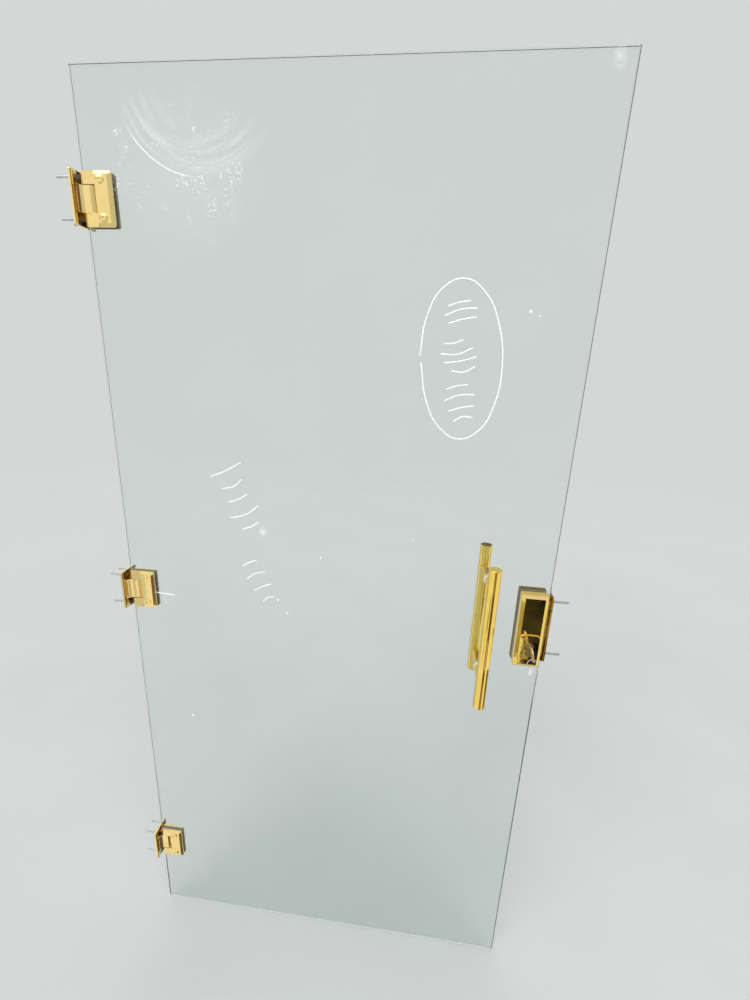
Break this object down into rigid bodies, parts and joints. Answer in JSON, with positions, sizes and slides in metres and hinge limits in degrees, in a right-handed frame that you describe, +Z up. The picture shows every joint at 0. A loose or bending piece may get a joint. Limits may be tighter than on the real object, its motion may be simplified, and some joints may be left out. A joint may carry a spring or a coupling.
{
  "type": "frameless glass entrance door",
  "caption": "Frameless toughened glass door leaf on polished gold wall-to-glass pivot hinges, with back-to-back pull handles, a key lock with its key, and a strike plate.",
  "frame": {"origin": "middle of the opening, in the mid-plane of the glass, at the bottom edge of the glass", "axes": "+X from the hinge wall to the strike wall, +Y from the front to the rear of the leaf, +Z up"},
  "size_m": [1.02, 0.161, 1.995],
  "materials": {
    "glass": "clear float glass, green at the edges",
    "gold": "mirror polished gold",
    "cylinder_brass": "satin brass",
    "steel": "plain steel",
    "key_metal": "worn brass",
    "ring_wire": "bright wire",
    "tag": "pale translucent plastic",
    "nylon": "clear-white nylon",
    "gasket": "thin clear-grey gasket"
  },
  "bodies": {
    "wall_side": {"bottom_hinge_wall_plate": "gold", "bottom_hinge_pivot_block": "gold", "bottom_hinge_detent_springs": "steel", "middle_hinge_wall_plate": "gold", "middle_hinge_pivot_block": "gold", "middle_hinge_detent_springs": "steel", "top_hinge_wall_plate": "gold", "top_hinge_pivot_block": "gold", "top_hinge_detent_springs": "steel", "hinge_wall_screws": "steel", "hinge_block_screws": "steel", "hinge_thrust_washers": "nylon", "strike_plate": "gold", "strike_screws": "steel"},
    "leaf": {"glass_leaf": "glass", "bottom_hinge_pivot_pin": "steel", "bottom_hinge_front_clamp": "gold", "bottom_hinge_rear_clamp": "gold", "bottom_hinge_gaskets": "gasket", "middle_hinge_pivot_pin": "steel", "middle_hinge_front_clamp": "gold", "middle_hinge_rear_clamp": "gold", "middle_hinge_gaskets": "gasket", "top_hinge_pivot_pin": "steel", "top_hinge_front_clamp": "gold", "top_hinge_rear_clamp": "gold", "top_hinge_gaskets": "gasket", "hinge_clamp_screws": "gold", "front_grip": "gold", "rear_grip": "gold", "grip_end_caps": "gold", "front_standoffs": "gold", "rear_standoffs": "gold", "handle_studs": "steel", "handle_washers": "nylon", "handle_bushes": "nylon", "handle_grub_screws": "steel", "lock_case": "steel", "forend_plate": "gold", "forend_screws": "gold", "front_lock_cover": "gold", "rear_lock_cover": "gold", "lock_cover_gaskets": "gasket", "lock_cover_screws": "gold", "front_guard_plate": "gold", "rear_guard_plate": "gold", "guard_plate_screws": "steel", "cylinder_body": "cylinder_brass", "cylinder_screw": "gold"},
    "bottom_detent": {"bottom_hinge_detent_plungers": "steel"},
    "middle_detent": {"middle_hinge_detent_plungers": "steel"},
    "top_detent": {"top_hinge_detent_plungers": "steel"},
    "dead_bolt": {"dead_bolt": "steel"},
    "key": {"door_key": "key_metal", "key_plug": "cylinder_brass", "cylinder_cam": "steel"},
    "thumb_turn": {"thumb_turn": "gold"},
    "key_ring": {"key_ring": "ring_wire"},
    "key_tag": {"key_tag": "tag"}
  },
  "joints": [
    {"name": "leaf_swing", "type": "hinge", "parent": "wall_side", "child": "leaf", "pos_m": [-0.451, 0, 1.005], "axis": [0, 0, 1], "range_deg": [-90, 90]},
    {"name": "bottom_detent_press", "type": "slide", "parent": "wall_side", "child": "bottom_detent", "axis": [1, 0, 0], "range_m": [0, 0.0007], "stiffness_N_per_m": 2000, "springref_m": 0.0007},
    {"name": "middle_detent_press", "type": "slide", "parent": "wall_side", "child": "middle_detent", "axis": [1, 0, 0], "range_m": [0, 0.0007], "stiffness_N_per_m": 2000, "springref_m": 0.0007},
    {"name": "top_detent_press", "type": "slide", "parent": "wall_side", "child": "top_detent", "axis": [1, 0, 0], "range_m": [0, 0.0007], "stiffness_N_per_m": 2000, "springref_m": 0.0007},
    {"name": "key_turn", "type": "hinge", "parent": "leaf", "child": "key", "pos_m": [0.435, 0, 0.9675], "axis": [0, -1, 0], "range_deg": [0, 360]},
    {"name": "bolt_slide", "type": "slide", "parent": "leaf", "child": "dead_bolt", "axis": [1, 0, 0], "range_m": [0, 0.015]},
    {"name": "thumb_turn_spin", "type": "hinge", "parent": "leaf", "child": "thumb_turn", "pos_m": [0.435, 0.03, 0.9675], "axis": [0, -1, 0], "range_deg": [0, 360]},
    {"name": "ring_swing", "type": "hinge", "parent": "key", "child": "key_ring", "pos_m": [0.43753, -0.056, 0.95562], "axis": [1, 0, 0], "range_deg": [-25, 25]},
    {"name": "tag_swing", "type": "hinge", "parent": "key_ring", "child": "key_tag", "pos_m": [0.43753, -0.056, 0.93662], "axis": [1, 0, 0], "range_deg": [-25, 25]}
  ],
  "couplings": [
    {"joint": "key_turn", "follows": "bolt_slide", "rad_per_m": 418.88},
    {"joint": "thumb_turn_spin", "follows": "bolt_slide", "rad_per_m": 418.88}
  ]
}
